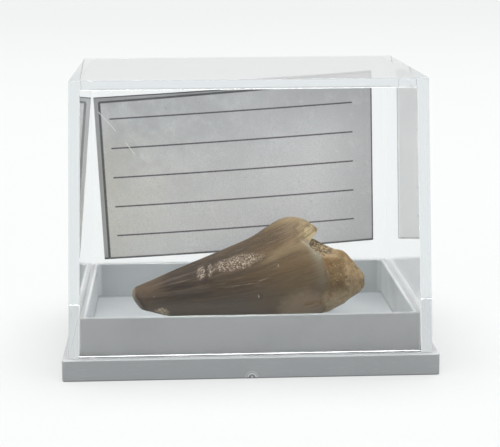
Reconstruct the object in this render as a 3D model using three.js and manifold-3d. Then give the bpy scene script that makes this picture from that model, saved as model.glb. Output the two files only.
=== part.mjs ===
// A fossil mosasaur tooth in its small clear display box, with a bare label card standing behind it.
// Units are millimetres. X runs along the box, Y from its front to its back and Z up.
// The origin is the middle of the underside, on the surface that the box stands on.
import * as THREE from 'three';
import { mergeVertices } from 'three/addons/utils/BufferGeometryUtils.js';
import Module from 'manifold-3d';

// The grey base: a flange to stand on, and a raised rim round a shallow tray.
const BASE_WIDTH = 46.6;
const BASE_DEPTH = 36.6;
const BASE_CORNER = 0.4;
const FLANGE_HEIGHT = 2.65;
const EDGE_BEVEL = 0.12;
const RIM_TOP = 7.45;
const RIM_WALL = 0.75;
const RIM_CORNER = 0.4;
const RIM_ROOT = 1.8;
const RIM_BEVEL = 0.12;
const TRAY_FLOOR = 2.5;
const TRAY_CORNER = 0.5;
const TRAY_FILLET = 0.2;
const FILLET_STEPS = 3;
const UNDERSIDE_DEPTH = 1.3;
const SKIRT_WALL = 1.2;
const GATE_RADIUS = 0.6;
const GATE_PROUD = 0.12;
const GATE_LIFT = 0.12;
// How far a hollow is cut past the open side of its piece.
const PAST = 1.0;

// The clear lid: it stands on the flange, round the rim, and its walls lean in a little towards the top.
const OVERALL_HEIGHT = 36.7;
const LID_WIDTH = 45.0;
const LID_DEPTH = 35.0;
const LID_CORNER = 0.15;
const LID_WALL = 1.2;
const LID_LEAN = 0.85;
const LID_EDGE = 0.1;
const RIM_CLEARANCE = 0.08;

// The label card: cut by hand, so each corner has its own place, as x and z on the lid's rear wall.
const CARD_THICKNESS = 0.3;
const CARD_CLEARANCE = 0.06;
const CARD_BOW = 0.9;
const CARD_CORNERS = {
  lowerLeft: [-19.4, 7.98],
  lowerRight: [19.3, 10.25],
  upperRight: [18.75, 33.6],
  upperLeft: [-20.42, 31.3],
};
const CARD_STEPS = { across: 12, up: 6 };

// The tooth's crown, from its blunt tip on the left to its base. Each section stands across X:
// its x, the heights of its lower and upper edge, and its reach to the front and to the back.
const CROWN_SECTIONS = [
  [-15.1, 5.85, 6.85, 0.45, 0.45],
  [-14.8, 5.05, 7.25, 0.95, 0.95],
  [-14.1, 4.4, 7.6, 1.4, 1.4],
  [-12.5, 3.9, 8.3, 1.95, 2.0],
  [-10.0, 3.35, 9.43, 2.6, 2.75],
  [-6.0, 2.8, 11.14, 3.55, 3.8],
  [-2.0, 2.55, 12.83, 4.35, 4.7],
  [1.0, 2.5, 14.19, 4.9, 5.3],
  [3.0, 2.52, 15.5, 5.2, 5.65],
  [5.0, 2.6, 16.62, 5.4, 5.85],
  [6.5, 2.7, 16.78, 5.5, 5.95],
  [8.0, 2.9, 16.42, 5.5, 5.95],
  [9.9, 3.35, 15.1, 5.4, 5.8],
];
// The crown's broken edge at its base: how far it stops from the last section, by the angle
// from the top, turning to the front. It draws back below the upper rim, which leaves a notch.
const CROWN_EDGE = [
  [0, 0.0],
  [16, -0.25],
  [30, -0.95],
  [45, -1.35],
  [55, -0.1],
  [70, 0.6],
  [85, 0.95],
  [105, 0.8],
  [140, 0.5],
  [180, 0.4],
  [225, 0.5],
  [270, 0.6],
  [310, -0.7],
  [332, -1.1],
  [346, -0.25],
  [360, 0.0],
];
const CROWN_EDGE_START = 4.0;
const CROWN_RIM_WALL = 0.85;
const CROWN_RIM_DEPTH = 1.3;
const CROWN_SIDES = 48;
const CROWN_STEPS = 28;
// A section is fuller at the sides the lower this power is; above 1 it has a keel above and below.
const CROWN_KEEL = 1.3;
// The crown bends a little to the back: how far its tip lies behind its base, and where the bend begins.
const TIP_BEHIND = 1.1;
const BEND_START = 6.0;
// Where the tip wore flat: each face's normal, and its distance from the origin along it.
const TIP_FACES = [
  [[-0.8, -0.33, -0.5], 8.73],
  [[-0.28, -0.15, -0.948], -0.28],
];

// The sandy rock that fills the hollow base and stands out of it, in sections of the same kind.
const ROCK_SECTIONS = [
  [6.5, 4.6, 12.4, 3.6, 4.0],
  [8.6, 3.85, 13.9, 4.9, 5.2],
  [10.4, 3.7, 13.05, 5.4, 5.7],
  [12.0, 4.3, 12.3, 5.1, 5.35],
  [13.2, 5.0, 12.05, 4.5, 4.7],
  [14.3, 5.8, 10.95, 3.7, 3.9],
  [15.3, 6.4, 9.65, 2.5, 2.7],
  [16.05, 7.2, 8.7, 1.1, 1.2],
];
const ROCK_KEEL = 1.25;
// The upper front of the rock is fuller, level with the crown's edge.
const ROCK_SHOULDER = 0.75;
const ROCK_LUMPS = 0.08;
const ROCK_SIDES = 40;
const ROCK_STEPS = 16;
// Where the rock broke flat: each face's normal, and its distance from the origin along it.
const ROCK_FACES = [
  [[0.727, -0.418, 0.542], 16.62],
  [[0.778, -0.61, 0.148], 14.25],
  [[0.6, 0.35, 0.72], 16.6],
  [[0.45, -0.35, -0.82], 3.3],
];
// Pits along the seam below the notch: x, degrees round the section from the top to the front, radius.
const PITS = [
  [8.9, 12, 0.26],
  [9.6, 22, 0.26],
  [10.3, 12, 0.24],
  [10.9, 22, 0.24],
  [11.5, 12, 0.22],
  [9.9, 33, 0.24],
];

const wasm = await Module();
wasm.setup();

/** A closed solid through rings with equal numbers of points, in order along it, with a cap at each end. */
function loft(rings) {
  const count = rings[0].length;
  const points = rings.flat();
  const faces = [];
  for (let ring = 0; ring < rings.length - 1; ring++) {
    for (let i = 0; i < count; i++) {
      const a = ring * count + i;
      const b = ring * count + (i + 1) % count;
      faces.push(a, b, b + count, a, b + count, a + count);
    }
  }
  const last = (rings.length - 1) * count;
  const startCentre = points.push(centreOf(rings[0])) - 1;
  const endCentre = points.push(centreOf(rings.at(-1))) - 1;
  for (let i = 0; i < count; i++) {
    const next = (i + 1) % count;
    faces.push(startCentre, next, i);
    faces.push(endCentre, last + i, last + next);
  }
  const geometry = new THREE.BufferGeometry().setFromPoints(points);
  geometry.setIndex(faces);
  return geometry;
}

function centreOf(ring) {
  const centre = new THREE.Vector3();
  for (const point of ring) {
    centre.add(point);
  }
  return centre.divideScalar(ring.length);
}

/** A level rectangle with rounded corners, anticlockwise seen from above. */
function roundedRing(halfWidth, halfDepth, radius, z) {
  const x = halfWidth - radius;
  const y = halfDepth - radius;
  const outline = new THREE.Path();
  outline.absarc(x, y, radius, 0, Math.PI / 2);
  outline.absarc(-x, y, radius, Math.PI / 2, Math.PI);
  outline.absarc(-x, -y, radius, Math.PI, 1.5 * Math.PI);
  outline.absarc(x, -y, radius, 1.5 * Math.PI, 2 * Math.PI);
  return outline.getPoints(2).map((point) => new THREE.Vector3(point.x, point.y, z));
}

function toSolid(geometry) {
  const bare = geometry.clone();
  bare.deleteAttribute('normal');
  bare.deleteAttribute('uv');
  const welded = mergeVertices(bare, 1e-5);
  return new wasm.Manifold(new wasm.Mesh({
    numProp: 3,
    vertProperties: new Float32Array(welded.attributes.position.array),
    triVerts: new Uint32Array(welded.index.array),
  }));
}

function toGeometry(solid) {
  const mesh = solid.getMesh();
  const geometry = new THREE.BufferGeometry();
  geometry.setAttribute('position', new THREE.BufferAttribute(new Float32Array(mesh.vertProperties), 3));
  geometry.setIndex(new THREE.BufferAttribute(new Uint32Array(mesh.triVerts), 1));
  geometry.computeVertexNormals();
  return geometry;
}

/** How far the lid's walls have leaned in at a height. */
function lean(z) {
  return LID_LEAN * (z - FLANGE_HEIGHT) / (OVERALL_HEIGHT - FLANGE_HEIGHT);
}

/** A level ring that keeps one distance inside the lid's leaning outer walls. */
function lidRing(inset, radius, z) {
  return roundedRing(LID_WIDTH / 2 - lean(z) - inset, LID_DEPTH / 2 - lean(z) - inset, radius, z);
}

function lidGeometry() {
  const ceiling = OVERALL_HEIGHT - LID_WALL;
  const outside = toSolid(loft([
    lidRing(0, LID_CORNER, FLANGE_HEIGHT),
    lidRing(0, LID_CORNER, OVERALL_HEIGHT - LID_EDGE),
    lidRing(LID_EDGE, LID_CORNER, OVERALL_HEIGHT),
  ]));
  const inside = toSolid(loft([
    lidRing(LID_WALL, LID_CORNER, FLANGE_HEIGHT - PAST),
    lidRing(LID_WALL, LID_CORNER, ceiling - EDGE_BEVEL),
    lidRing(LID_WALL + EDGE_BEVEL, LID_CORNER, ceiling),
  ]));
  return toGeometry(outside.subtract(inside));
}

/** The rings of the tray's hollow: a floor with a quarter-round fillet, up to past the rim's top. */
function trayRings() {
  const inset = LID_WALL + RIM_CLEARANCE + RIM_WALL;
  const rings = [];
  for (let step = 0; step <= FILLET_STEPS; step++) {
    const turn = (Math.PI / 2) * (step / FILLET_STEPS);
    const z = TRAY_FLOOR + TRAY_FILLET * (1 - Math.cos(turn));
    rings.push(lidRing(inset + TRAY_FILLET * (1 - Math.sin(turn)), TRAY_CORNER, z));
  }
  rings.push(lidRing(inset, TRAY_CORNER, RIM_TOP - RIM_BEVEL));
  rings.push(lidRing(inset - RIM_BEVEL * 2, TRAY_CORNER, RIM_TOP + RIM_BEVEL));
  return rings;
}

/** The gate mark: a low half-round stub on the front of the flange, where the plastic was let in. */
function gateGeometry() {
  const outline = new THREE.Shape();
  outline.absarc(0, 0, GATE_RADIUS, 0, Math.PI);
  outline.closePath();
  const geometry = new THREE.ExtrudeGeometry(outline, {
    depth: 2 * GATE_PROUD,
    curveSegments: 10,
    bevelEnabled: false,
  });
  geometry.rotateX(Math.PI / 2);
  geometry.translate(0, GATE_PROUD - BASE_DEPTH / 2, GATE_LIFT);
  return geometry;
}

function baseGeometry() {
  const width = BASE_WIDTH / 2;
  const depth = BASE_DEPTH / 2;
  const rimInset = LID_WALL + RIM_CLEARANCE;
  const flange = toSolid(loft([
    roundedRing(width - EDGE_BEVEL, depth - EDGE_BEVEL, BASE_CORNER, 0),
    roundedRing(width, depth, BASE_CORNER, EDGE_BEVEL),
    roundedRing(width, depth, BASE_CORNER, FLANGE_HEIGHT - EDGE_BEVEL),
    roundedRing(width - EDGE_BEVEL, depth - EDGE_BEVEL, BASE_CORNER, FLANGE_HEIGHT),
  ]));
  const rim = toSolid(loft([
    lidRing(rimInset, RIM_CORNER, RIM_ROOT),
    lidRing(rimInset, RIM_CORNER, RIM_TOP - RIM_BEVEL),
    lidRing(rimInset + RIM_BEVEL, RIM_CORNER, RIM_TOP),
  ]));
  const underside = toSolid(loft([
    roundedRing(width - SKIRT_WALL, depth - SKIRT_WALL, BASE_CORNER, -PAST),
    roundedRing(width - SKIRT_WALL, depth - SKIRT_WALL, BASE_CORNER, UNDERSIDE_DEPTH),
  ]));
  const tray = toSolid(loft(trayRings()));
  return toGeometry(flange.add(rim).add(toSolid(gateGeometry())).subtract(tray).subtract(underside));
}

/** The card: a thin sheet between its four corners, bowed forward off the lid's rear wall in its middle. */
function cardGeometry() {
  const geometry = new THREE.BoxGeometry(1, 1, 1, CARD_STEPS.across, 1, CARD_STEPS.up);
  const place = geometry.attributes.position;
  const wall = LID_DEPTH / 2 - LID_WALL - CARD_CLEARANCE;
  for (let i = 0; i < place.count; i++) {
    const across = place.getX(i) + 0.5;
    const up = place.getZ(i) + 0.5;
    const [x, z] = [0, 1].map((axis) => THREE.MathUtils.lerp(
      THREE.MathUtils.lerp(CARD_CORNERS.lowerLeft[axis], CARD_CORNERS.lowerRight[axis], across),
      THREE.MathUtils.lerp(CARD_CORNERS.upperLeft[axis], CARD_CORNERS.upperRight[axis], across),
      up,
    ));
    const bow = CARD_BOW * (1 - (2 * across - 1) ** 2);
    const front = (0.5 - place.getY(i)) * CARD_THICKNESS;
    place.setXYZ(i, x, wall - lean(z) - bow - front, z);
  }
  return toGeometry(toSolid(geometry));
}

/** Reads a table of rows by its first column, smoothly between the rows. */
function smoothTable(rows) {
  const values = rows.flatMap((row) => row.slice(1));
  const curve = new THREE.CubicInterpolant(rows.map((row) => row[0]), values, rows[0].length - 1);
  return (at) => Array.from(curve.evaluate(at));
}

/** A point of an upright section across X, at an angle from the top round to the front. */
function sectionPoint(x, [lower, upper, front, back], turn, keel, shoulder) {
  const side = Math.sin(turn);
  const height = Math.cos(turn);
  const reach = side > 0 ? -front : back;
  const power = side > 0 && height > 0 ? shoulder : keel;
  const middle = (upper + lower) / 2;
  return new THREE.Vector3(x, reach * Math.abs(side) ** power, middle + (upper - middle) * height);
}

function sectionRing(x, section, count, keel, shoulder = keel) {
  const turns = Array.from({ length: count }, (_, i) => 2 * Math.PI * i / count);
  return turns.map((turn) => sectionPoint(x, section, turn, keel, shoulder));
}

/** Places from one end to the other that lie closest together at both ends. */
function crowdedSteps(start, end, count) {
  const shares = Array.from({ length: count + 1 }, (_, i) => (1 - Math.cos(Math.PI * i / count)) / 2);
  return shares.map((share) => start + (end - start) * share);
}

/** Cuts a solid off flat at each face, given by its normal and its distance from the origin. */
function breakFlat(solid, faces) {
  return faces.reduce((rest, [normal, distance]) => {
    const length = new THREE.Vector3(...normal).length();
    return rest.trimByPlane(normal.map((part) => -part / length), -distance);
  }, solid);
}

function crownGeometry() {
  const profile = smoothTable(CROWN_SECTIONS);
  const edge = smoothTable(CROWN_EDGE);
  const start = CROWN_SECTIONS[0][0];
  const end = CROWN_SECTIONS.at(-1)[0];
  const rings = crowdedSteps(start, end, CROWN_STEPS).map((x) => {
    const share = THREE.MathUtils.smoothstep(x, CROWN_EDGE_START, end);
    const bend = TIP_BEHIND * (Math.max(BEND_START - x, 0) / (BEND_START - start)) ** 2;
    const ring = sectionRing(x, profile(x), CROWN_SIDES, CROWN_KEEL);
    ring.forEach((point, i) => {
      point.x += share * edge(360 * i / CROWN_SIDES)[0];
      point.y += bend;
    });
    return ring;
  });
  const rim = rings.at(-1);
  const middle = centreOf(rim);
  rings.push(rim.map((point) => {
    const inward = new THREE.Vector3(0, middle.y - point.y, middle.z - point.z).setLength(CROWN_RIM_WALL);
    return point.clone().add(inward).setX(point.x - CROWN_RIM_DEPTH);
  }));
  return loft(rings);
}

/** A slow unevenness between about -1 and 1 for the rock's surface. */
function lumps({ x, y, z }) {
  const waves = [2.9 * x + 1.3 * y, 2.3 * y + 2.1 * z + 1, 2.6 * z - 1.7 * x + 2];
  return waves.reduce((sum, wave) => sum + Math.sin(wave), 0) / 2;
}

function rockGeometry() {
  const profile = smoothTable(ROCK_SECTIONS);
  const end = ROCK_SECTIONS.at(-1)[0];
  const rings = crowdedSteps(ROCK_SECTIONS[0][0], end, ROCK_STEPS).map((x) => {
    const ring = sectionRing(x, profile(x), ROCK_SIDES, ROCK_KEEL, ROCK_SHOULDER);
    const middle = centreOf(ring);
    return ring.map((point) => {
      const outward = point.clone().sub(middle).normalize();
      return point.clone().addScaledVector(outward, ROCK_LUMPS * lumps(point));
    });
  });
  return loft(rings);
}

function pitSolid([x, degrees, radius]) {
  const section = smoothTable(ROCK_SECTIONS)(x);
  const place = sectionPoint(x, section, THREE.MathUtils.degToRad(degrees), ROCK_KEEL, ROCK_SHOULDER);
  return toSolid(new THREE.IcosahedronGeometry(radius, 1).translate(place.x, place.y, place.z));
}

function toothGeometry() {
  const crown = breakFlat(toSolid(crownGeometry()), TIP_FACES);
  const rock = breakFlat(toSolid(rockGeometry()), ROCK_FACES);
  return toGeometry(PITS.reduce((tooth, pit) => tooth.subtract(pitSolid(pit)), crown.add(rock)));
}

const PIECES = [
  ['base_tray', baseGeometry(), { color: 0x9b9d9d, roughness: 0.45 }],
  ['lid', lidGeometry(), { color: 0xeef2f4, roughness: 0.05, transparent: true, opacity: 0.25 }],
  ['label_card', cardGeometry(), { color: 0xb4b5b3, roughness: 0.6 }],
  ['tooth', toothGeometry(), { color: 0x756650, roughness: 0.4 }],
];

const model = new THREE.Group();
for (const [name, geometry, finish] of PIECES) {
  const mesh = new THREE.Mesh(geometry, new THREE.MeshStandardMaterial({ metalness: 0, ...finish }));
  mesh.name = name;
  model.add(mesh);
}

export default model;
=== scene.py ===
# A fossil mosasaur tooth, with rock in its hollow base, lying in a clear box on a grey tray,
# with a blank label card behind it. Lengths are metres: X along the box, Y to its back, Z up.
import math
from contextlib import contextmanager

import bmesh
import bpy
import numpy as np
from mathutils import Matrix, Vector, noise
from mathutils.bvhtree import BVHTree


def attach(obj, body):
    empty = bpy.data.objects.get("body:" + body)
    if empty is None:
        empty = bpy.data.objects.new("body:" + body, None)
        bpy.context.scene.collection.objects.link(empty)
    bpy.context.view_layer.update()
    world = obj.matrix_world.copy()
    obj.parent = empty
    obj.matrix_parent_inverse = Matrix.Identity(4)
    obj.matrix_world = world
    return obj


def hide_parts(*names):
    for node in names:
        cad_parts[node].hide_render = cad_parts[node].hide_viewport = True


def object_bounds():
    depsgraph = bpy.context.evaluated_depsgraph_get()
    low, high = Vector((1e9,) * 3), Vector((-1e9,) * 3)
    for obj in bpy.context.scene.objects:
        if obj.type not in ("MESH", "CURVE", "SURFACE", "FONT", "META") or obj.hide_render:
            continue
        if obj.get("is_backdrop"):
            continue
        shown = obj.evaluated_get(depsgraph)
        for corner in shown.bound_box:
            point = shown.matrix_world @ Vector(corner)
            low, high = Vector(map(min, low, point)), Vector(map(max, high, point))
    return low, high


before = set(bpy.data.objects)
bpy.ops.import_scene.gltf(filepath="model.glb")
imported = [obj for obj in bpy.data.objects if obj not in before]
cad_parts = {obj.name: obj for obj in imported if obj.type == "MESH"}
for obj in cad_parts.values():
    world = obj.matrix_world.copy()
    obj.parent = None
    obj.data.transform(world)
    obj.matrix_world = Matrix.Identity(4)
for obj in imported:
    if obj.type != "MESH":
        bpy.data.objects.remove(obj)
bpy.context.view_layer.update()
MM = 0.001

# The studio: a pale tabletop under even daylight, with one broad soft light straight overhead. The
# tabletop is lit a little from below as well, so that shadows on it stay pale. The camera looks
# slightly down on the front of the box from a step away, a little to its left.
EYE = Vector((-8.876, -199.313, 54.178)) * MM
EYE_HEADING = math.radians(2.7637)
EYE_DOWN = math.radians(10.8514)
EYE_ROLL = math.radians(-0.3460)
LENS = 109.934
LENS_NEAR = 0.01
WALL_TURNS = 40
GLOSS_TURNS = 32
OVERHEAD_STRENGTH = 6.0
OVERHEAD_SPREAD = math.radians(48)
OVERHEAD_PLACE = (0, 0, 0.5)
WALLS_PALE = (0.80, 0.81, 0.805, 1.0)
ROOM_DIM = (0.42, 0.425, 0.43, 1.0)
WALL_HEIGHT = (0.3, 0.55)
FLOOR_SIZE = 6.0
FLOOR_GAP = 0.02 * MM
FLOOR_PALE = (0.218, 0.222, 0.22, 1.0)
FLOOR_CLOUD = tuple(1.015 * channel for channel in FLOOR_PALE)
# Painted shade: the tabletop is darker far behind the box.
FLOOR_FAR_PAINTED_SHADE = (0.180, 0.183, 0.181, 1.0)
FLOOR_FAR_REACH = (0.1, 0.9)
FLOOR_GLOW = (0.434, 0.440, 0.437, 1.0)

bpy.ops.object.camera_add()
camera = bpy.context.active_object
camera.name = "camera"
camera.data.lens = LENS
camera.data.clip_start = LENS_NEAR
camera.matrix_world = (
    Matrix.Translation(EYE)
    @ Matrix.Rotation(-EYE_HEADING, 4, "Z")
    @ Matrix.Rotation(math.pi / 2 - EYE_DOWN, 4, "X")
    @ Matrix.Rotation(EYE_ROLL, 4, "Z")
)
bpy.context.scene.camera = camera
bpy.context.scene.view_settings.view_transform = "Standard"

# Light turns many times inside the lid's clear walls before it leaves them at their edges.
light_paths = bpy.context.scene.cycles
light_paths.max_bounces = WALL_TURNS
light_paths.transmission_bounces = WALL_TURNS
light_paths.glossy_bounces = GLOSS_TURNS

bpy.ops.object.light_add(type="SUN", location=OVERHEAD_PLACE)
overhead = bpy.context.active_object
overhead.name = "overhead"
overhead.data.energy = OVERHEAD_STRENGTH
overhead.data.angle = OVERHEAD_SPREAD


class Pattern:
    """A socket in a material's node tree. Sums written with it add the nodes that work them out."""

    def __init__(self, tree, socket=None):
        self.tree = tree
        self.socket = socket

    def node(self, kind, settings=None, values=None, output=0):
        """Adds a node: its settings first, then the values or links of its sockets."""
        made = self.tree.nodes.new(kind)
        for name, value in (settings or {}).items():
            setattr(made, name, value)
        for name, value in (values or {}).items():
            if isinstance(value, Pattern):
                self.tree.links.new(value.socket, made.inputs[name])
            else:
                made.inputs[name].default_value = value
        return Pattern(self.tree, made.outputs[output] if len(made.outputs) else None)

    def maths(self, operation, *values):
        """Adds a Math node on some values or sockets."""
        return self.node("ShaderNodeMath", {"operation": operation}, dict(enumerate(values)))

    def __add__(self, other):
        return self.maths("ADD", self, other)

    def __radd__(self, other):
        return self.maths("ADD", other, self)

    def __sub__(self, other):
        return self.maths("SUBTRACT", self, other)

    def __rsub__(self, other):
        return self.maths("SUBTRACT", other, self)

    def __mul__(self, other):
        return self.maths("MULTIPLY", self, other)

    def __rmul__(self, other):
        return self.maths("MULTIPLY", other, self)

    def __truediv__(self, other):
        return self.maths("DIVIDE", self, other)

    def __abs__(self):
        return self.maths("ABSOLUTE", self)

    def __or__(self, other):
        """The larger of two masks."""
        return self.maths("MAXIMUM", self, other)

    def rise(self, low, high):
        """0 below low, 1 above high, and an even curve between; it falls if high is the smaller."""
        spans = {"Value": self, "From Min": low, "From Max": high}
        return self.node("ShaderNodeMapRange", {"interpolation_type": "SMOOTHSTEP"}, spans)

    def parts(self):
        """The X, Y and Z of this place."""
        split = self.node("ShaderNodeSeparateXYZ", {}, {0: self}).socket.node
        return [Pattern(self.tree, socket) for socket in split.outputs]

    def stretched(self, x, y, z):
        """This place with its three directions scaled apart."""
        return self.node("ShaderNodeVectorMath", {"operation": "MULTIPLY"}, {0: self, 1: (x, y, z)})

    def grain(self, scale, detail=2.0, roughness=0.5):
        """Noise at this place, from about 0.3 to 0.7, with so many features in each unit."""
        values = {"Vector": self, "Scale": scale, "Detail": detail, "Roughness": roughness}
        return self.node("ShaderNodeTexNoise", {}, values)

    def cells(self, scale):
        """The distance to the nearest of many scattered points, 0 at the point itself."""
        return self.node("ShaderNodeTexVoronoi", {}, {"Vector": self, "Scale": scale})

    def over(self, under, colour):
        """Lays a colour over another where this mask is 1."""
        values = {"Factor": self, 6: under, 7: colour}
        return self.node("ShaderNodeMix", {"data_type": "RGBA"}, values, output=2)

    def relief(self, height, distance):
        """A normal that shows this pattern as relief of a height, as strength 0 to 1, and a depth."""
        values = {"Height": self, "Strength": height, "Distance": distance}
        return self.node("ShaderNodeBump", {}, values)


def paint(red, green, blue):
    """A colour from its values on a screen, 0 to 255."""
    linear = [((c / 255 + 0.055) / 1.055) ** 2.4 for c in (red, green, blue)]
    return (*linear, 1.0)


def layered(colour, *coats):
    """Lays coats over a colour one after the other, each with its mask and its own colour."""
    for mask, coat in coats:
        colour = mask.over(colour, coat)
    return colour


def new_material(name):
    """An empty material, and the place on the piece, in metres, that its patterns read."""
    material = bpy.data.materials.new(name)
    material.use_nodes = True
    material.node_tree.nodes.clear()
    place = Pattern(material.node_tree).node("ShaderNodeTexCoord", output="Object")
    return material, place


def finish_material(place, values, volume=None):
    """Closes a material with its surface's values, and with what fills it if it is clear."""
    surface = place.node("ShaderNodeBsdfPrincipled", {}, values)
    closed = {"Surface": surface, "Volume": volume} if volume else {"Surface": surface}
    place.node("ShaderNodeOutputMaterial", {}, closed)


# The room: pale walls that turn dim higher up. The camera sees them pale throughout.
room = bpy.data.worlds.new("room")
room.use_nodes = True
room.node_tree.nodes.clear()
sky = Pattern(room.node_tree).node("ShaderNodeTexCoord", output="Generated")
shade = sky.parts()[2].rise(*WALL_HEIGHT) * (1 - sky.node("ShaderNodeLightPath", output="Is Camera Ray"))
glow = sky.node("ShaderNodeBackground", {}, {"Color": shade.over(WALLS_PALE, ROOM_DIM)})
glow.node("ShaderNodeOutputWorld", {}, {"Surface": glow})
bpy.context.scene.world = room

floor_material, place = new_material("pale_tabletop")
faint = place.grain(9, 3)
far_painted_shade = place.parts()[1].rise(*FLOOR_FAR_REACH)
finish_material(place, {
    "Base Color": layered(FLOOR_PALE, (faint.rise(0.35, 0.65), FLOOR_CLOUD), (far_painted_shade, FLOOR_FAR_PAINTED_SHADE)),
    "Roughness": 0.9,
    "Specular IOR Level": 0.1,
    "Emission Color": FLOOR_GLOW,
    "Emission Strength": 1.0,
})
bpy.ops.mesh.primitive_plane_add(size=FLOOR_SIZE, location=(0, 0, -FLOOR_GAP))
floor = bpy.context.active_object
floor.name = "tabletop"
floor.data.materials.append(floor_material)
floor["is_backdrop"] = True

# The base: one moulding of grey polystyrene, a flange to stand on with a raised rim round a
# shallow tray. It is hollow underneath, and a half-round gate stub shows low on its front.
BASE_WIDTH = 46.6 * MM
BASE_DEPTH = 36.6 * MM
BASE_CORNER = 0.4 * MM
FLANGE_HEIGHT = 2.65 * MM
FLANGE_EDGE = 0.12 * MM
RIM_TOP = 7.45 * MM
RIM_WALL = 0.75 * MM
RIM_CORNER = 0.4 * MM
RIM_EDGE = 0.12 * MM
TRAY_FLOOR = 2.5 * MM
TRAY_CORNER = 0.5 * MM
TRAY_FILLET = 0.2 * MM
UNDERSIDE_DEPTH = 1.3 * MM
SKIRT_WALL = 1.2 * MM
LID_WIDTH = 45.0 * MM
LID_DEPTH = 35.0 * MM
LID_TOP = 36.7 * MM
LID_WALL = 1.2 * MM
LID_LEAN = 0.85 * MM
RIM_CLEARANCE = 0.08 * MM
GATE_RADIUS = 0.6 * MM
GATE_PROUD = 0.12 * MM
GATE_LIFT = 0.12 * MM
# The steps in the gate's face: how wide each is, of the radius, and how far it goes in, in mm.
GATE_STEPS = ((0.14, 0.0), (0.1, 0.16), (0.34, 0.0), (0.1, -0.14))
# Less than any real size, more than any real size, how square a face must stand to face one way,
# and how far an edge must turn to be sharp.
HAIR = 0.001 * MM
PAST = 1.0 * MM
SQUARE = 0.9
SHARP = math.radians(30)


@contextmanager
def editing(piece):
    """Opens one piece in edit mode, with all of it selected, and closes it again."""
    bpy.ops.object.select_all(action="DESELECT")
    piece.select_set(True)
    bpy.context.view_layer.objects.active = piece
    bpy.ops.object.mode_set(mode="EDIT")
    bpy.ops.mesh.select_all(action="SELECT")
    yield
    bpy.ops.object.mode_set(mode="OBJECT")


def pick(piece, kind, wanted):
    """Selects the vertices, edges or faces that a test picks by their place or normal."""
    bpy.ops.mesh.select_mode(type=kind)
    bpy.ops.mesh.select_all(action="DESELECT")
    mesh = bmesh.from_edit_mesh(piece.data)
    for part in {"VERT": mesh.verts, "EDGE": mesh.edges, "FACE": mesh.faces}[kind]:
        part.select_set(wanted(part))
    mesh.select_flush_mode()
    bmesh.update_edit_mesh(piece.data)


def sharp_at(level):
    """A test for the sharp edges that lie at a level."""
    def wanted(edge):
        flat = all(abs(vert.co.z - level) < HAIR for vert in edge.verts)
        return flat and edge.calc_face_angle(0) > SHARP
    return wanted


def add(name, primitive, **options):
    """Adds a primitive with nothing else selected, its place and size in its mesh."""
    bpy.ops.object.select_all(action="DESELECT")
    primitive(**options)
    piece = bpy.context.active_object
    piece.name = name
    bpy.ops.object.transform_apply(location=True, rotation=True, scale=True)
    return piece


def block(name, width, depth, bottom, top, corner, lean=0.0):
    """A block with rounded upright edges, whose sides lean in by so much from bottom to top."""
    piece = add(name, bpy.ops.mesh.primitive_cube_add, size=1,
                location=(0, 0, (bottom + top) / 2), scale=(width, depth, top - bottom))
    with editing(piece):
        pick(piece, "EDGE", lambda edge: abs(edge.verts[0].co.z - edge.verts[1].co.z) > HAIR)
        bpy.ops.mesh.bevel(offset=corner, segments=6, affect="EDGES")
        pick(piece, "FACE", lambda face: face.normal.z > SQUARE)
        inward = (1 - 2 * lean / width, 1 - 2 * lean / depth, 1)
        bpy.ops.transform.resize(value=inward, center_override=(0, 0, top))
    return piece


def round_level(piece, level, offset, segments=3):
    """Rounds the sharp edges of a piece at a level."""
    with editing(piece):
        pick(piece, "EDGE", sharp_at(level))
        bpy.ops.mesh.bevel(offset=offset, segments=segments, affect="EDGES")


def combine(piece, other, operation):
    """Joins another piece on, or cuts it away, and removes it."""
    work = piece.modifiers.new("combine", "BOOLEAN")
    work.operation = operation
    work.object = other
    bpy.context.view_layer.objects.active = piece
    bpy.ops.object.modifier_apply(modifier=work.name)
    bpy.data.objects.remove(other)


def shade_smooth(piece, degrees=35):
    """Smooths the rounded edges, and keeps the flat faces between them flat."""
    bpy.ops.object.select_all(action="DESELECT")
    piece.select_set(True)
    bpy.context.view_layer.objects.active = piece
    bpy.ops.object.shade_smooth_by_angle(angle=math.radians(degrees))
    even = piece.modifiers.new("even", "WEIGHTED_NORMAL")
    even.weight = 100
    even.keep_sharp = True
    bpy.ops.object.modifier_apply(modifier=even.name)


def join_up(piece, other):
    """Makes one object of two closed bodies that stand in each other."""
    bpy.ops.object.select_all(action="DESELECT")
    other.select_set(True)
    piece.select_set(True)
    bpy.context.view_layer.objects.active = piece
    bpy.ops.object.join()
    return piece


def hand_over(piece, material, node):
    """Gives a finished piece its material, and sets it in the place of the CAD node."""
    piece.data.materials.clear()
    piece.data.materials.append(material)
    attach(piece, "root")
    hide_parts(node)


def lean_at(z):
    """How far the lid's walls have leaned in at a height."""
    return LID_LEAN * (z - FLANGE_HEIGHT) / (LID_TOP - FLANGE_HEIGHT)


def leaning_block(name, inset, bottom, top, corner):
    """A block whose sides keep one distance inside the lid's leaning outer walls."""
    inset = inset + lean_at(bottom)
    lean = lean_at(top) - lean_at(bottom)
    return block(name, LID_WIDTH - 2 * inset, LID_DEPTH - 2 * inset, bottom, top, corner, lean)


base = block("tray_moulding", BASE_WIDTH, BASE_DEPTH, 0, FLANGE_HEIGHT, BASE_CORNER)
round_level(base, 0, FLANGE_EDGE)
round_level(base, FLANGE_HEIGHT, FLANGE_EDGE)

rim_foot = UNDERSIDE_DEPTH + FLANGE_EDGE
rim = leaning_block("rim", LID_WALL + RIM_CLEARANCE, rim_foot, RIM_TOP, RIM_CORNER)
round_level(rim, RIM_TOP, RIM_EDGE)
combine(base, rim, "UNION")

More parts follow.
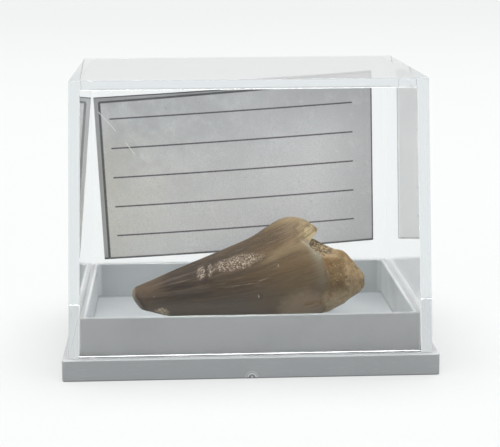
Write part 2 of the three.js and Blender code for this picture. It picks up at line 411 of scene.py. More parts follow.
tray_inset = LID_WALL + RIM_CLEARANCE + RIM_WALL
hollow = leaning_block("hollow", tray_inset, TRAY_FLOOR, RIM_TOP - RIM_EDGE, TRAY_CORNER)
round_level(hollow, TRAY_FLOOR, TRAY_FILLET, segments=4)
with editing(hollow):
    pick(hollow, "FACE", lambda face: face.normal.z > SQUARE)
    bpy.ops.mesh.extrude_region_move(TRANSFORM_OT_translate={"value": (0, 0, 2 * RIM_EDGE)})
    tray_sizes = (LID_WIDTH - 2 * tray_inset, LID_DEPTH - 2 * tray_inset)
    flare = [1 + 4 * RIM_EDGE / size for size in tray_sizes]
    bpy.ops.transform.resize(value=(*flare, 1), center_override=(0, 0, RIM_TOP))
combine(base, hollow, "DIFFERENCE")

underside = block("underside", BASE_WIDTH - 2 * SKIRT_WALL, BASE_DEPTH - 2 * SKIRT_WALL,
                  -PAST, UNDERSIDE_DEPTH, BASE_CORNER)
round_level(underside, UNDERSIDE_DEPTH, FLANGE_EDGE)
combine(base, underside, "DIFFERENCE")

gate_middle = (0, -BASE_DEPTH / 2, GATE_LIFT)
gate = add("gate", bpy.ops.mesh.primitive_cylinder_add, vertices=40, radius=GATE_RADIUS,
           depth=2 * GATE_PROUD, location=gate_middle, rotation=(math.pi / 2, 0, 0))
with editing(gate):
    pick(gate, "FACE", lambda face: face.normal.y < -SQUARE)
    for width, push in GATE_STEPS:
        bpy.ops.mesh.inset(thickness=width * GATE_RADIUS, depth=0)
        bpy.ops.transform.translate(value=(0, push * MM, 0))
    bpy.ops.mesh.select_all(action="SELECT")
    bpy.ops.mesh.bisect(plane_co=gate_middle, plane_no=(0, 0, 1), clear_inner=True, use_fill=True)
shade_smooth(base)
shade_smooth(gate, degrees=20)
base = join_up(base, gate)

# Moulded polystyrene: an even cool grey, a little cloudy, with a fine satin skin, faint rubs where
# the lid slides over it, and a few dark specks of dust. Painted shade darkens the flange and lies as
# a shadow along its foot, and painted light makes the tray's walls paler. The gate's pale rings are
# painted highlights, with painted shade in their groove.
# The flange's grey is the rim's grey darkened as painted shade, and the tray walls' greys are paled as
# painted light.
PLASTIC_RIM = paint(190, 191, 191)
PLASTIC_FLANGE_PAINTED_SHADE = paint(148, 151, 153)
PLASTIC_FLOOR = paint(186, 190, 191)
PLASTIC_LONG_WALLS_PAINTED_LIGHT = paint(200, 204, 205)
PLASTIC_END_WALLS_PAINTED_LIGHT = paint(224, 227, 228)
PLASTIC_CLOUD = paint(160, 163, 165)
PLASTIC_RUBBED = paint(215, 217, 218)
PLASTIC_DUST_AND_SHADE = paint(70, 72, 74)
PLASTIC_IOR = 1.56
# The gate's pale colours are painted highlights.
GATE_HIGHLIGHT = paint(240, 241, 242)
GATE_HALO_HIGHLIGHT = paint(205, 208, 209)
GATE_RING = 0.86 * GATE_RADIUS
GATE_GROOVE = 0.5 * GATE_RADIUS
GATE_HALO = 0.76 * MM

grey_plastic, place = new_material("grey_plastic")
x, y, level = place.parts()
cloud = place.grain(110, 4, 0.6)
satin = place.grain(5200, 3)
rubs = place.stretched(900, 900, 9000).grain(1, 3).rise(0.56, 0.72)
dust = place.cells(420).rise(0.07, 0.035) * place.grain(300).rise(0.56, 0.62)
past_end = abs(x) - (LID_WIDTH / 2 - tray_inset)
past_long = abs(y) - (LID_DEPTH / 2 - tray_inset)
in_tray = past_end.rise(0.3 * MM, 0.1 * MM) * past_long.rise(0.3 * MM, 0.1 * MM)
# Painted light: the tray's long walls, and its end walls most, are paler than its floor.
tray_with_painted_light = layered(
    PLASTIC_LONG_WALLS_PAINTED_LIGHT,
    (past_end.rise(-0.8 * MM, -0.4 * MM), PLASTIC_END_WALLS_PAINTED_LIGHT),
    (level.rise(3.0 * MM, 2.6 * MM), PLASTIC_FLOOR),
)
# Painted highlights on the gate's middle, its rim and the ring round it, and painted shade in its groove.
from_gate = place.node("ShaderNodeVectorMath", {"operation": "DISTANCE"},
                       {0: place, 1: gate_middle}, output="Value")
gate_ring_highlights = from_gate.rise(0.18 * MM, 0.1 * MM) | abs(from_gate - GATE_RING).rise(0.09 * MM, 0.03 * MM)
plastic_colour = layered(
    # Painted shade: the flange, below the rim, is a darker grey.
    PLASTIC_FLANGE_PAINTED_SHADE,
    (level.rise(2.5 * MM, 2.9 * MM), PLASTIC_RIM),
    (in_tray, tray_with_painted_light),
    (0.25 * cloud.rise(0.45, 0.7), PLASTIC_CLOUD),
    (0.07 * rubs, PLASTIC_RUBBED),
    (0.8 * dust, PLASTIC_DUST_AND_SHADE),
    (0.9 * gate_ring_highlights, GATE_HIGHLIGHT),
    (0.12 * abs(from_gate - GATE_GROOVE).rise(0.12 * MM, 0.04 * MM), PLASTIC_DUST_AND_SHADE),
    (0.5 * abs(from_gate - GATE_HALO).rise(0.08 * MM, 0.02 * MM), GATE_HALO_HIGHLIGHT),
    # Painted shadow: a dark band along the foot, where it stands on the tabletop.
    (0.75 * level.rise(0.16 * MM, 0.07 * MM), PLASTIC_DUST_AND_SHADE),
)
skin = satin + 0.35 * rubs + 0.5 * place.grain(700, 2)
finish_material(place, {
    "Base Color": plastic_colour,
    "Roughness": 0.3 + 0.16 * satin + 0.1 * rubs,
    "IOR": PLASTIC_IOR,
    "Normal": skin.relief(0.12, 0.02 * MM),
})
hand_over(base, grey_plastic, "base_tray")

# The lid: a clear polystyrene box, thin-walled and open below, that slips over the tray's rim
# and stands on its flange. Its walls lean in a little, so that it came out of its mould.
LID_GAP = 0.04 * MM
LID_CORNER = 0.15 * MM
LID_TOP_EDGE = 0.06 * MM
LID_FOOT_EDGE = 0.06 * MM
CEILING_EDGE = 0.12 * MM

lid = leaning_block("lid_clear", 0, FLANGE_HEIGHT + LID_GAP, LID_TOP, LID_CORNER)
round_level(lid, LID_TOP, LID_TOP_EDGE, segments=4)
inside = leaning_block("inside", LID_WALL, FLANGE_HEIGHT - PAST, LID_TOP - LID_WALL, LID_CORNER)
round_level(inside, LID_TOP - LID_WALL, CEILING_EDGE)
combine(lid, inside, "DIFFERENCE")
round_level(lid, FLANGE_HEIGHT + LID_GAP, LID_FOOT_EDGE)
shade_smooth(lid)

# Clear polystyrene: see-through with a trace of blue, which shows where the eye looks along a
# wall, faintly wavy, with hairline scratches and one long one across its front's upper left.
CLEAR = (0.962, 0.967, 0.97, 1.0)
CLEAR_SCRATCHED = (0.93, 0.935, 0.94, 1.0)
# Below polystyrene's real 1.59, at which the walls mirror the card and the tray too strongly.
CLEAR_IOR = 1.3
LID_THROUGH = (0.12, 0.26, 0.33, 1.0)
LID_DEPTH_TINT = 6.5
# The long scratch, in mm: where it starts, how steeply it falls, how it curves, how long it is
# across, where it is broken, and the y from which the wall is the front one.
SCRATCH_START = (-18.56, 33.41)
SCRATCH_FALL = 1.02
SCRATCH_CURVE = 0.037
SCRATCH_LENGTH = 5.2
SCRATCH_BREAK = 3.0
FRONT_WALL = -16.0

clear_plastic, place = new_material("clear_plastic")
x, y, z = [part / MM for part in place.parts()]
wave = place.grain(60, 1)
hairs = place.stretched(60, 60, 9000).grain(1, 2).rise(0.66, 0.74)
cross_hairs = place.stretched(7000, 7000, 300).grain(1, 2).rise(0.68, 0.76)
scratches = (hairs + cross_hairs) * place.grain(150).rise(0.5, 0.66)
along = x - SCRATCH_START[0]
fall = SCRATCH_FALL * along + SCRATCH_CURVE * along * along
scratch = abs(z - SCRATCH_START[1] + fall).rise(0.09, 0.03) * y.rise(FRONT_WALL, FRONT_WALL - 0.5)
scratch = scratch * along.rise(-0.1, 0.6) * along.rise(SCRATCH_LENGTH, SCRATCH_LENGTH - 0.8)
scratch = scratch * abs(along - SCRATCH_BREAK).rise(0.3, 0.7)
depth_tint = place.node("ShaderNodeVolumeAbsorption", {}, {"Color": LID_THROUGH, "Density": LID_DEPTH_TINT})
finish_material(place, {
    "Base Color": scratches.rise(0, 1.5).over(CLEAR, CLEAR_SCRATCHED),
    "Roughness": 0.06 * scratches + 0.4 * scratch,
    "IOR": CLEAR_IOR,
    "Transmission Weight": 1.0,
    "Normal": wave.relief(0.04, 0.1 * MM),
}, volume=depth_tint)
hand_over(lid, clear_plastic, "lid")

# The label: a slip of thin card cut by hand, printed with a marbled grey, a thin frame and five
# ruled lines, and left blank. It leans on the lid's rear wall and bows forward in its middle.
# Its four corners, left or right and low or high, each with its x and z in mm.
CARD_CORNERS = {
    (-1, -1): (-19.4, 7.98),
    (1, -1): (19.3, 10.25),
    (1, 1): (18.75, 33.6),
    (-1, 1): (-20.42, 31.3),
}
CARD_THICKNESS = 0.3 * MM
CARD_CLEARANCE = 0.06 * MM
CARD_BOW = 0.9 * MM
CARD_CUTS = 47

card = add("label_slip", bpy.ops.mesh.primitive_plane_add, size=2, rotation=(math.pi / 2, 0, 0))
with editing(card):
    for (side, end), (x, z) in CARD_CORNERS.items():
        pick(card, "VERT", lambda vert: (round(vert.co.x), round(vert.co.z)) == (side, end))
        bpy.ops.transform.translate(value=(x * MM - side, 0, z * MM - end))
    bpy.ops.mesh.select_all(action="SELECT")
    bpy.ops.mesh.subdivide(number_cuts=CARD_CUTS)
wall = LID_DEPTH / 2 - LID_WALL - CARD_CLEARANCE
half = max(abs(vert.co.x) for vert in card.data.vertices)
for vert in card.data.vertices:
    vert.co.y = wall - lean_at(vert.co.z) - CARD_BOW * (1 - (vert.co.x / half) ** 2)
thick = card.modifiers.new("thick", "SOLIDIFY")
thick.thickness = CARD_THICKNESS
thick.offset = -1
bpy.ops.object.select_all(action="DESELECT")
bpy.context.view_layer.objects.active = card
bpy.ops.object.modifier_apply(modifier=thick.name)
shade_smooth(card)

# Printed card: the print's marbling drifts from cool to warm, painted light lifts its warm lower left
# and its lower right, painted shade dims its upper right, and it is darker to its right, with paper
# fibre in its surface. Places on it are shares of its width and height; its back isn't printed.
FRAME_LEFT = 0.019
FRAME_TOP = (0.968, 0.995)
FRAME_WIDTH = (0.0058, 0.0085)
RULES = (0.145, 0.325, 0.505, 0.685, 0.865)
RULE_WIDTH = 0.0055
RULE_ENDS = (0.05, 0.93)
INK_SPREAD = 0.004
PRINT_GREY = paint(202, 203, 204)
PRINT_CLOUD = paint(228, 229, 229)
PRINT_WARM_PAINTED_LIGHT = paint(240, 234, 216)
PRINT_PAINTED_LIGHT = paint(241, 241, 242)
PRINT_PAINTED_SHADE_TOP = paint(198, 198, 199)
PRINT_DIM_RIGHT = paint(202, 202, 203)
PRINT_WISP = paint(246, 246, 244)
PRINT_FIBRE = paint(190, 191, 191)
PRINT_BORDER = paint(150, 152, 154)
PRINT_BLACK = paint(52, 53, 55)
PRINT_FLECK = paint(150, 150, 148)
PAPER_WHITE = paint(232, 231, 227)
PAPER_FIBRE = paint(218, 217, 212)
PAPER_FLECK = paint(196, 194, 188)

printed_card, place = new_material("printed_card")
across, up = place.node("ShaderNodeUVMap").parts()[:2]
marble = place.grain(170, 5, 0.62)
wisps = place.grain(420, 4, 0.7).rise(0.52, 0.7)
fibre = place.grain(6000, 3)
flecks = place.grain(2600, 2).rise(0.7, 0.78)
# Painted light on the lower left, tinted warm as the print is, and on the lower right, and painted shade on
# the upper right.
low_left_painted_light = (1.15 - up - 0.35 * across + 1.2 * (place.grain(60, 3) - 0.5)).rise(0.1, 0.95)
low_right_painted_light = (0.6 * across + 0.5 * (1 - up)).rise(0.2, 0.85)
frame_top = FRAME_TOP[0] + (FRAME_TOP[1] - FRAME_TOP[0]) * across
left_line = abs(across - FRAME_LEFT).rise(FRAME_WIDTH[0], 0.5 * FRAME_WIDTH[0])
left_line = left_line * (frame_top - up).rise(-0.5 * INK_SPREAD, 0.5 * INK_SPREAD)
top_line = abs(up - frame_top).rise(FRAME_WIDTH[1], 0.5 * FRAME_WIDTH[1])
top_line = top_line * (across - FRAME_LEFT).rise(-INK_SPREAD, 0)
cut_edges = up.rise(0.014, 0.008) | across.rise(0.994, 0.997) | up.rise(0.992, 0.996)
ink = left_line | top_line | cut_edges
start, end = RULE_ENDS
for rule in RULES:
    line = abs(up - rule).rise(RULE_WIDTH, 0.6 * RULE_WIDTH)
    ink = ink | line * across.rise(start, start + INK_SPREAD) * across.rise(end, end - INK_SPREAD)
border = (FRAME_LEFT - across).rise(0, INK_SPREAD) | (up - frame_top).rise(0, 1.5 * INK_SPREAD)
print_colour = layered(
    PRINT_GREY,
    (marble.rise(0.36, 0.64), PRINT_CLOUD),
    (0.75 * low_left_painted_light, PRINT_WARM_PAINTED_LIGHT),
    (0.9 * low_right_painted_light, PRINT_PAINTED_LIGHT),
    (0.85 * up.rise(0.6, 0.95) * across.rise(0.5, 0.8), PRINT_PAINTED_SHADE_TOP),
    (0.55 * across.rise(0.76, 0.96) * up.rise(0.98, 0.8), PRINT_DIM_RIGHT),
    (0.3 * wisps, PRINT_WISP),
    (0.25 * fibre.rise(0.4, 0.6), PRINT_FIBRE),
    (0.6 * border, PRINT_BORDER),
    (ink * (0.72 + 0.3 * fibre), PRINT_BLACK),
    (0.5 * flecks, PRINT_FLECK),
)
paper_colour = layered(PAPER_WHITE, (fibre.rise(0.35, 0.65), PAPER_FIBRE), (0.5 * flecks, PAPER_FLECK))
back = place.node("ShaderNodeTexCoord", output="Normal").parts()[1].rise(0.2, 0.6)
finish_material(place, {
    "Base Color": back.over(print_colour, paper_colour),
    "Roughness": 0.6,
    "Specular IOR Level": 0.3,
    "Normal": (fibre + 0.6 * marble).relief(0.2, 0.02 * MM),
})
hand_over(card, printed_card, "label_card")

# The tooth: a hollow cone of dark enamel, bent a little to the back and lying on its side, with a
# worn tip and a broken base. Sandy rock fills the base and stands out of it; both are one stone.
# Each section across X has its x, its lower and upper edge, and its reach to front and back, in mm.
CROWN_SECTIONS = np.array((
    (-15.1, 5.85, 6.85, 0.45, 0.45),
    (-14.8, 5.05, 7.25, 0.95, 0.95),
    (-14.1, 4.4, 7.6, 1.4, 1.4),
    (-12.5, 3.9, 8.3, 1.95, 2.0),
    (-10.0, 3.35, 9.43, 2.6, 2.75),
    (-6.0, 2.8, 11.14, 3.55, 3.8),
    (-2.0, 2.55, 12.83, 4.35, 4.7),
    (1.0, 2.5, 14.19, 4.9, 5.3),
    (3.0, 2.52, 15.5, 5.2, 5.65),
    (5.0, 2.6, 16.62, 5.4, 5.85),
    (6.5, 2.7, 16.78, 5.5, 5.95),
    (8.0, 2.9, 16.42, 5.5, 5.95),
    (9.9, 3.35, 15.1, 5.4, 5.8),
))
# The broken edge at the base: degrees from the top round to the front, and how far it goes in x.
CROWN_EDGE = np.array((
    (0, 0.0), (16, -0.25), (30, -0.95), (45, -1.35), (55, -0.1), (70, 0.6), (85, 0.95), (105, 0.8),
    (140, 0.5), (180, 0.4), (225, 0.5), (270, 0.6), (310, -0.7), (332, -1.1), (346, -0.25), (360, 0.0),
))
CROWN_EDGE_START = 4.0
CROWN_RIM_WALL = 0.85
CROWN_RIM_DEPTH = 1.3
CROWN_KEEL = 1.3
TIP_BEHIND = 1.1
# Where the tip wore flat: each face's normal and its distance from the origin along it, in mm.
TIP_FACES = (((-0.80, -0.33, -0.50), 8.73), ((-0.28, -0.15, -0.948), -0.28))
BEND_START = 6.0
ROCK_SECTIONS = np.array((
    (6.5, 4.6, 12.4, 3.6, 4.0),
    (8.6, 3.85, 13.9, 4.9, 5.2),
    (10.4, 3.7, 13.05, 5.4, 5.7),
    (12.0, 4.3, 12.3, 5.1, 5.35),
    (13.2, 5.0, 12.05, 4.5, 4.7),
    (14.3, 5.8, 10.95, 3.7, 3.9),
    (15.3, 6.4, 9.65, 2.5, 2.7),
    (16.05, 7.2, 8.7, 1.1, 1.2),
))
ROCK_BULGE = 1.25
ROCK_SHOULDER = 0.75
# Where the rock broke flat: each face's normal and its distance from the origin along it, in mm.
ROCK_FACES = (
    ((0.727, -0.418, 0.542), 16.62),
    ((0.778, -0.610, 0.148), 14.25),
    ((0.60, 0.35, 0.72), 16.6),
    ((0.45, -0.35, -0.82), 3.3),
)
# Pits in the rock's front: x and z, radius and depth, in mm.
ROCK_PITS = (
    (8.9, 13.7, 0.3, 0.25), (9.6, 13.4, 0.28, 0.25), (10.2, 13.0, 0.26, 0.25), (10.8, 12.7, 0.25, 0.25),
    (11.4, 12.3, 0.22, 0.2), (9.2, 13.0, 0.25, 0.3), (10.0, 12.7, 0.25, 0.3),
    (11.2, 11.1, 0.22, 0.25), (11.1, 10.0, 0.2, 0.2), (11.2, 9.5, 0.16, 0.2), (12.4, 10.4, 0.2, 0.15),
    (13.2, 10.7, 0.28, 0.18), (13.15, 10.0, 0.25, 0.2), (13.2, 9.3, 0.25, 0.2), (13.3, 8.7, 0.25, 0.15),
    (12.2, 6.4, 0.3, 0.15), (14.2, 8.1, 0.2, 0.12),
)
# The enamel's lines follow its lower edge and, from here on, a straight upper line, out to the break.
LINES_START = -2.0
LINES_RISE = 0.44
TOOTH_SIDES = 96
CROWN_RINGS = 90
ROCK_RINGS = 40
REMESH = 0.12 * MM
SETTLE_STEPS = 4
# The rock starts so far outside the enamel and is all rock a little farther out, in mm.
ROCK_STARTS = 0.06
ROCK_BLEND = 0.1
# The heights of the relief, in mm: the rock's lumps and grit, the enamel's lines, and the sunken
# line along its broken edge with its half width.
LUMPS = 0.09
GRIT = 0.035
FINE_GRIT = 0.02
ENAMEL_LINES = 0.012
EDGE_SUNK = 0.04
EDGE_HALF = 0.2


def read_table(table, at):
    """Reads a table of rows by its first column, along smooth curves through the rows."""
    keys, values = table[:, 0], table[:, 1:]
    slopes = np.gradient(values, keys, axis=0)
    at = np.clip(at, keys[0], keys[-1])
    row = np.clip(np.searchsorted(keys, at) - 1, 0, len(keys) - 2)
    span = (keys[row + 1] - keys[row])[:, None]
    t = (at - keys[row])[:, None] / span
    return ((2 * t ** 3 - 3 * t ** 2 + 1) * values[row] + (t ** 3 - 2 * t ** 2 + t) * span * slopes[row]
            + (3 * t ** 2 - 2 * t ** 3) * values[row + 1] + (t ** 3 - t ** 2) * span * slopes[row + 1]).T


def places(piece):
    """The places of a piece's vertices in mm, one row each."""
    flat = np.empty(3 * len(piece.data.vertices))
    piece.data.vertices.foreach_get("co", flat)
    return flat.reshape(-1, 3) / MM


def move_to(piece, points):
    """Puts a piece's vertices at places in mm."""
    piece.data.vertices.foreach_set("co", (points * MM).ravel())
    piece.data.update()


def power(values, exponent):
    """Raises the size of each value to a power, and keeps its sign."""
    return np.sign(values) * np.abs(values) ** exponent


def bend_at(x):
    """How far the crown has bent to the back at places along it, in mm."""
    return TIP_BEHIND * (np.maximum(BEND_START - x, 0) / (BEND_START - CROWN_SECTIONS[0, 0])) ** 2


def draw_out(name, table, keel, shoulder, count):
    """Draws a body out of a ring along X, and gives each ring the size of its section. A high keel
    makes its upper and lower edges sharp; the shoulder is the same for its upper front alone."""
    piece = add(name, bpy.ops.mesh.primitive_circle_add, vertices=TOOTH_SIDES, radius=MM,
                fill_type="NGON", rotation=(0, math.pi / 2, 0))
    with editing(piece):
        for ring in range(count):
            bpy.ops.mesh.extrude_region_move(TRANSFORM_OT_translate={"value": (MM, 0, 0)})
    step, side, height = places(piece).T
    start, end = table[0, 0], table[-1, 0]
    x = start + (end - start) * (1 - np.cos(np.pi * step / count)) / 2
    lower, upper, front, back = read_table(table, x)
    fullness = np.where((side < 0) & (height > 0), shoulder, keel)
    y = power(side, fullness) * np.where(side > 0, back, front)
    move_to(piece, np.column_stack((x, y, (upper + lower) / 2 + (upper - lower) / 2 * height)))
    return piece


def break_flat(piece, faces):
    """Cuts a body off flat at each face, given by its normal and its distance from the origin."""
    with editing(piece):
        for normal, distance in faces:
            along = Vector(normal).normalized()
            bpy.ops.mesh.select_all(action="SELECT")
            bpy.ops.mesh.bisect(plane_co=along * distance * MM, plane_no=along, clear_outer=True,
                                use_fill=True, threshold=0.1 * HAIR)


def turn_of(x, y, z):
    """Degrees round the unbent crown's section, from its top to its front."""
    lower, upper, front, back = read_table(CROWN_SECTIONS, x)
    side = power(-y / np.where(y > 0, back, front), 1 / CROWN_KEEL)
    height = (z - (upper + lower) / 2) / (upper - lower) * 2
    return np.degrees(np.arctan2(side, height)) % 360


crown = draw_out("crown", CROWN_SECTIONS, CROWN_KEEL, CROWN_KEEL, CROWN_RINGS)
crown_end, low, high = CROWN_SECTIONS[-1, :3]
with editing(crown):
    pick(crown, "FACE", lambda face: face.calc_center_median().x > (crown_end - 0.01) * MM)
    bpy.ops.mesh.extrude_region_move(TRANSFORM_OT_translate={"value": (-CROWN_RIM_DEPTH * MM, 0, 0)})
    inward = (high - low - 2 * CROWN_RIM_WALL) / (high - low)
    bpy.ops.transform.resize(value=(1, inward, inward), center_override=(0, 0, (low + high) / 2 * MM))
x, y, z = places(crown).T
share = np.clip((x - CROWN_EDGE_START) / (crown_end - CROWN_EDGE_START), 0, 1)
edge = read_table(CROWN_EDGE, turn_of(x, y, z))[0]
move_to(crown, np.column_stack((x + share ** 2 * (3 - 2 * share) * edge, y + bend_at(x), z)))
break_flat(crown, TIP_FACES)
crown_surface = BVHTree.FromObject(crown, bpy.context.evaluated_depsgraph_get())

rock = draw_out("rock", ROCK_SECTIONS, ROCK_BULGE, ROCK_SHOULDER, ROCK_RINGS)
break_flat(rock, ROCK_FACES)

tooth = join_up(crown, rock)
tooth.name = "tooth_stone"
fuse = tooth.modifiers.new("fuse", "REMESH")
fuse.mode = "VOXEL"
fuse.voxel_size = REMESH
bpy.ops.object.modifier_apply(modifier=fuse.name)
settle = tooth.modifiers.new("settle", "SMOOTH")
settle.iterations = SETTLE_STEPS
bpy.ops.object.modifier_apply(modifier=settle.name)

# What the relief and the finish follow: the share of the height between the crown's edges, the
# same for its lines of growth, the way left to its broken edge, and how far the surface is rock.
points = places(tooth)
x, y, z = points.T
lower, upper = read_table(CROWN_SECTIONS, x)[:2]
share = (z - lower) / (upper - lower)
straight = read_table(CROWN_SECTIONS, np.minimum(x, LINES_START))[1]
straight = straight + LINES_RISE * np.maximum(x - LINES_START, 0)
growth = (z - lower) / (straight - lower)
to_edge = crown_end + read_table(CROWN_EDGE, turn_of(x, y - bend_at(x), z))[0] - x
away = np.array([crown_surface.find_nearest(point * MM)[3] for point in points]) / MM
stone = np.clip((away - ROCK_STARTS) / ROCK_BLEND, 0, 1)
normals = np.empty(points.size)
tooth.data.vertices.foreach_get("normal", normals)
normals = normals.reshape(-1, 3)
relief = np.empty(len(points))
for i, point in enumerate(points):
    here = Vector(point)
    if stone[i] > 0:
        lump = LUMPS * noise.fractal(here * 0.8, 0.9, 2.1, 3)
        grit = GRIT * noise.noise(here * 6.0) + FINE_GRIT * noise.noise(here * 14.0)
        relief[i] = stone[i] * (lump + grit)
    else:
        line_at = Vector((here.x * 0.1, growth[i] * 34, math.copysign(3, here.y)))
        relief[i] = ENAMEL_LINES * noise.noise(line_at)
for pit_x, pit_z, radius, depth in ROCK_PITS:
    near = ((x - pit_x) ** 2 + (z - pit_z) ** 2) / radius ** 2
    relief -= depth * np.exp(-near) * (normals[:, 1] < 0)
relief -= EDGE_SUNK * np.exp(-(to_edge / EDGE_HALF) ** 2)
move_to(tooth, points + relief[:, None] * normals)
for name, values in (("share", share), ("growth", growth), ("to_edge", to_edge), ("rock", stone)):
    tooth.data.attributes.new(name, "FLOAT", "POINT").data.foreach_set("value", values)
shade_smooth(tooth, degrees=80)

# Enamel and rock: brown enamel, darkest on its upper flank, greyer to its keel and buff to its base,
# with fine lines from tip to base and rubs, chips and scratches on its front; and sandy, rusty rock.
ENAMEL_BROWN = paint(73, 55, 32)
ENAMEL_DARK = paint(44, 30, 12)
ENAMEL_GREY = paint(90, 78, 68)
ENAMEL_BUFF = paint(111, 90, 59)
ENAMEL_CREAM = paint(166, 148, 114)
ENAMEL_BLUE = paint(140, 137, 122)
ENAMEL_MAUVE = paint(101, 87, 82)
ENAMEL_AMBER = paint(112, 84, 46)
ENAMEL_PINK = paint(164, 140, 112)
TIP_TAN = paint(92, 74, 56)
KEEL_PALE = paint(99, 86, 70)
BAND_PALE = paint(122, 101, 74)
BAND_DARK = paint(54, 42, 31)
STREAK_PALE = paint(140, 120, 95)
STREAK_DARK = paint(46, 34, 24)
THREAD_PALE = paint(165, 146, 120)
RIM_STREAK = paint(150, 130, 96)
RIM_FLAKE = paint(204, 187, 146)
RIM_EDGE_PALE = paint(196, 176, 130)
RUB_GROUND = paint(98, 84, 68)
RUBBED = paint(201, 184, 165)
CHIP_PALE = paint(196, 174, 146)
CHIP_TAN = paint(171, 150, 124)
NICK_ROUND = paint(56, 46, 38)
NICK_PALE = paint(214, 202, 180)
RUST = paint(126, 84, 40)
ROCK_DUN = paint(122, 99, 64)
ROCK_BUFF = paint(168, 144, 106)
ROCK_BROWN = paint(104, 79, 40)
ROCK_SAND = paint(160, 137, 97)
ROCK_PALE = paint(204, 184, 148)
SOIL_AND_SHADE = paint(52, 42, 31)

fossil, place = new_material("fossil")
share, growth, to_edge, stone = [
    place.node("ShaderNodeAttribute", {"attribute_name": name}, output="Fac")
    for name in ("share", "growth", "to_edge", "rock")
]
x, y, z = [part / MM for part in place.parts()]
# Marks are on the crown's front alone, and its two flanks have lines of their own.
front = y.rise(1.2, 0.2)
side = y.rise(-0.5, 0.5)
ragged = place.grain(1400, 3, 0.6) - 0.5
lines = place.node("ShaderNodeCombineXYZ", {}, {"X": 0.07 * x, "Y": 14 * growth, "Z": 9 * side})
bands = lines.grain(0.42, 2)
streaks = lines.grain(1.5, 4, 0.62)
threads = lines.grain(6.0, 3, 0.6)


def blot(at_x, at_share, length, height, slope=0.0, rough=1.0, blur=0.5):
    """A ragged oval mark on the crown's front: its middle, its half sizes, how much it rises along
    the crown, and how ragged and how blurred its edge is."""
    off = x - at_x
    up = (share - at_share - off * slope) / height
    along = off / length
    return (along * along + up * up + rough * ragged).rise(0.85 + blur, 0.85 - blur) * front


# The enamel's own colour, from the tip to the base, then its bands, streaks and fine threads.
upper_flank = share.rise(0.42, 0.66) * x.rise(-12.5, -9.6) * x.rise(-0.5, -7.5)
to_base = x.rise(-1.5, 6.5) * (1.0 - 0.45 * share.rise(0.75, 0.92) * x.rise(6.5, 3.5))
flank = 0.35 + 0.65 * share.rise(0.3, 0.55)
enamel = layered(
    ENAMEL_GREY,
    (share.rise(0.3, 0.58), ENAMEL_BROWN),
    (upper_flank, ENAMEL_DARK),
    (to_base, ENAMEL_BUFF),
    (0.75 * share.rise(0.42, 0.16), KEEL_PALE),
    (x.rise(-10.2, -13.6), TIP_TAN),
    (0.16 * bands.rise(0.5, 0.66), BAND_PALE),
    (0.3 * bands.rise(0.5, 0.36), BAND_DARK),
    (0.1 * flank * streaks.rise(0.5, 0.66), STREAK_PALE),
    (0.18 * flank * streaks.rise(0.5, 0.34), STREAK_DARK),
    (0.14 * flank * threads.rise(0.52, 0.64), THREAD_PALE),
    (0.16 * flank * threads.rise(0.48, 0.36), STREAK_DARK),
    (0.25 * share.rise(0.84, 0.95) * x.rise(6.0, 0.0), ENAMEL_DARK),
)

# Stains along the flank and above the keel.
rust_streak = blot(8.9, 0.22, 1.5, 0.05, rough=2.0) * threads.rise(0.44, 0.56)
enamel = layered(
    enamel,
    (0.3 * blot(-9.6, 0.5, 5.2, 0.11, blur=0.8), ENAMEL_DARK),
    (0.45 * blot(-9.3, 0.84, 3.4, 0.06, blur=0.8) * streaks.rise(0.44, 0.54), ENAMEL_MAUVE),
    (0.25 * blot(-8.0, 0.6, 4.0, 0.07, blur=0.8), ENAMEL_MAUVE),
    (0.35 * blot(5.2, 0.76, 3.6, 0.045, 0.012, blur=0.8) * streaks.rise(0.4, 0.5), RIM_STREAK),
    (0.3 * blot(5.6, 0.58, 3.2, 0.09, blur=0.8), ENAMEL_AMBER),
    (0.6 * blot(8.0, 0.16, 3.6, 0.22, blur=0.8), ENAMEL_PINK),
    (0.7 * rust_streak, RUST),
)

# The broken rim: bluish where the enamel is thin, browned at the rock, creamy and flaked on top.
thin_edge = to_edge.rise(2.4, 0.9) * share.rise(0.3, 0.5) * share.rise(0.86, 0.8)
browned = (to_edge + 1.3 * ragged).rise(0.8, 0.05) * share.rise(0.84, 0.72)
enamel = layered(
    enamel,
    ((0.22 + 0.45 * share.rise(0.66, 0.76)) * thin_edge, ENAMEL_BLUE),
    ((0.35 + 0.4 * share.rise(0.35, 0.5)) * browned, ROCK_BROWN),
    (0.6 * blot(8.4, 0.9, 1.7, 0.09, rough=2.0) * streaks.rise(0.3, 0.6), ENAMEL_CREAM),
    (0.45 * blot(8.9, 0.9, 1.2, 0.07, rough=3.0) * threads.rise(0.2, 0.65), RIM_FLAKE),
    (0.25 * share.rise(0.95, 1.0) * x.rise(2.5, 5.0), ENAMEL_CREAM),
    (0.3 * to_edge.rise(0.3, 0.05) * share.rise(0.8, 0.88), RIM_EDGE_PALE),
    (0.8 * blot(9.35, 0.985, 0.1, 0.014, blur=0.4), SOIL_AND_SHADE),
)

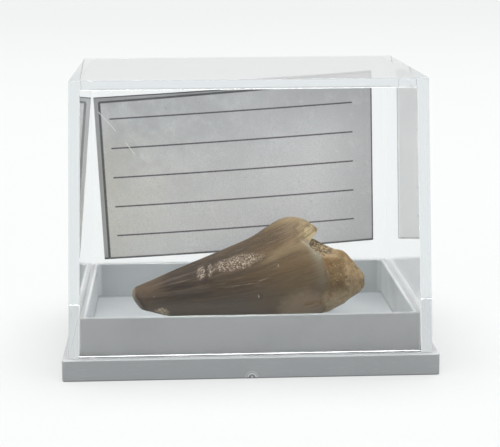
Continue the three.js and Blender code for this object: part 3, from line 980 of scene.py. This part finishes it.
# Wear: the tip's flat face, three rubs in a row, a chip under the tip, a scratch and two nicks.
tip_x, tip_y, tip_z = TIP_FACES[0][0]
tip_face = tip_x * x + tip_y * y + tip_z * z
rubs = blot(-1.3, 0.825, 3.3, 0.08, -0.008, 1.5)
rubs = rubs | blot(-5.9, 0.83, 0.6, 0.09, rough=1.6) | blot(-4.7, 0.83, 0.35, 0.08, rough=1.6)
rub_grain = place.stretched(0.6, 1, 1).grain(7400, 2, 0.6).rise(0.49, 0.58)
rub_grain = rub_grain * (0.45 + 0.55 * place.grain(1700, 2).rise(0.36, 0.5))
chip = blot(-11.1, 0.15, 1.0, 0.11, rough=2.5) * (0.15 + 0.85 * place.grain(4200, 2).rise(0.45, 0.58))
scratch = abs(share - 0.562 + 0.003 * x + 0.02 * ragged).rise(0.005, 0.002)
scratch = scratch * x.rise(-3.3, -2.6) * x.rise(3.2, 2.4) * front * threads.rise(0.42, 0.52)
nicks = (0.8 * blot(1.6, 0.385, 0.07, 0.019, -0.16, 0.3)) | (0.4 * blot(4.15, 0.64, 0.1, 0.012))
enamel = layered(
    enamel,
    (0.4 * tip_face.rise(8.1, 8.5), ENAMEL_DARK),
    (0.2 * tip_face.rise(8.5, 8.68), CHIP_TAN),
    (0.65 * x.rise(-14.5, -14.9) * z.rise(5.4, 6.0), CHIP_TAN),
    (0.12 * rubs, RUB_GROUND),
    (0.75 * rubs * rub_grain, RUBBED),
    (chip, CHIP_PALE),
    (0.5 * blot(1.8, 0.38, 0.35, 0.035, blur=0.8), NICK_ROUND),
    (0.35 * scratch, RUBBED),
    (0.9 * nicks, NICK_PALE),
    (0.5 * blot(-12.15, 0.58, 0.12, 0.02), CHIP_TAN),
)

# The rock: sand of several browns, rusty in places, with pale grains, and dark crumbs in the seam,
# there mixed with painted shade below the enamel's edge.
sand = place.grain(1500, 4, 0.65)
stains = place.grain(330, 3, 0.6)
pale_grains = place.grain(3300, 2).rise(0.6, 0.68) * place.grain(900).rise(0.4, 0.55)
above_seam = z + 0.15 * x + 1.2 * ragged
# Painted shade in the seam below the enamel, mixed with dark crumbs.
shaded_seam = above_seam.rise(13.7, 14.0) * x.rise(12.1, 11.4)
crumbs_and_shade = place.grain(3000, 3, 0.6).rise(0.48, 0.58).over(SOIL_AND_SHADE, ROCK_SAND)
rock_colour = layered(
    ROCK_DUN,
    (sand.rise(0.3, 0.7), ROCK_BUFF),
    (0.85 * x.rise(13.5, 12.5) * z.rise(6.6, 8.6), ROCK_BROWN),
    (0.4 * z.rise(8.4, 5.8), ROCK_PALE),
    (0.45 * stains.rise(0.54, 0.66), RUST),
    (0.6 * pale_grains, ROCK_PALE),
    (0.2 * place.grain(2400, 3).rise(0.58, 0.68), SOIL_AND_SHADE),
    (0.3 * above_seam.rise(13.4, 13.7) * x.rise(13.0, 11.4), ROCK_PALE),
    (0.8 * shaded_seam, crumbs_and_shade),
)
grit = 2.5 * stone * (sand + 0.5 * place.grain(5200, 3))
finish_material(place, {
    "Base Color": stone.over(enamel, rock_colour),
    "Roughness": 0.46 + 0.1 * threads + 0.3 * stone,
    "Specular IOR Level": 0.15,
    "Normal": (0.5 * threads + 0.8 * rubs * rub_grain + grit).relief(0.3, 0.06 * MM),
})
hand_over(tooth, fossil, "tooth")

# The box of the finished object.
low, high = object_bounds()
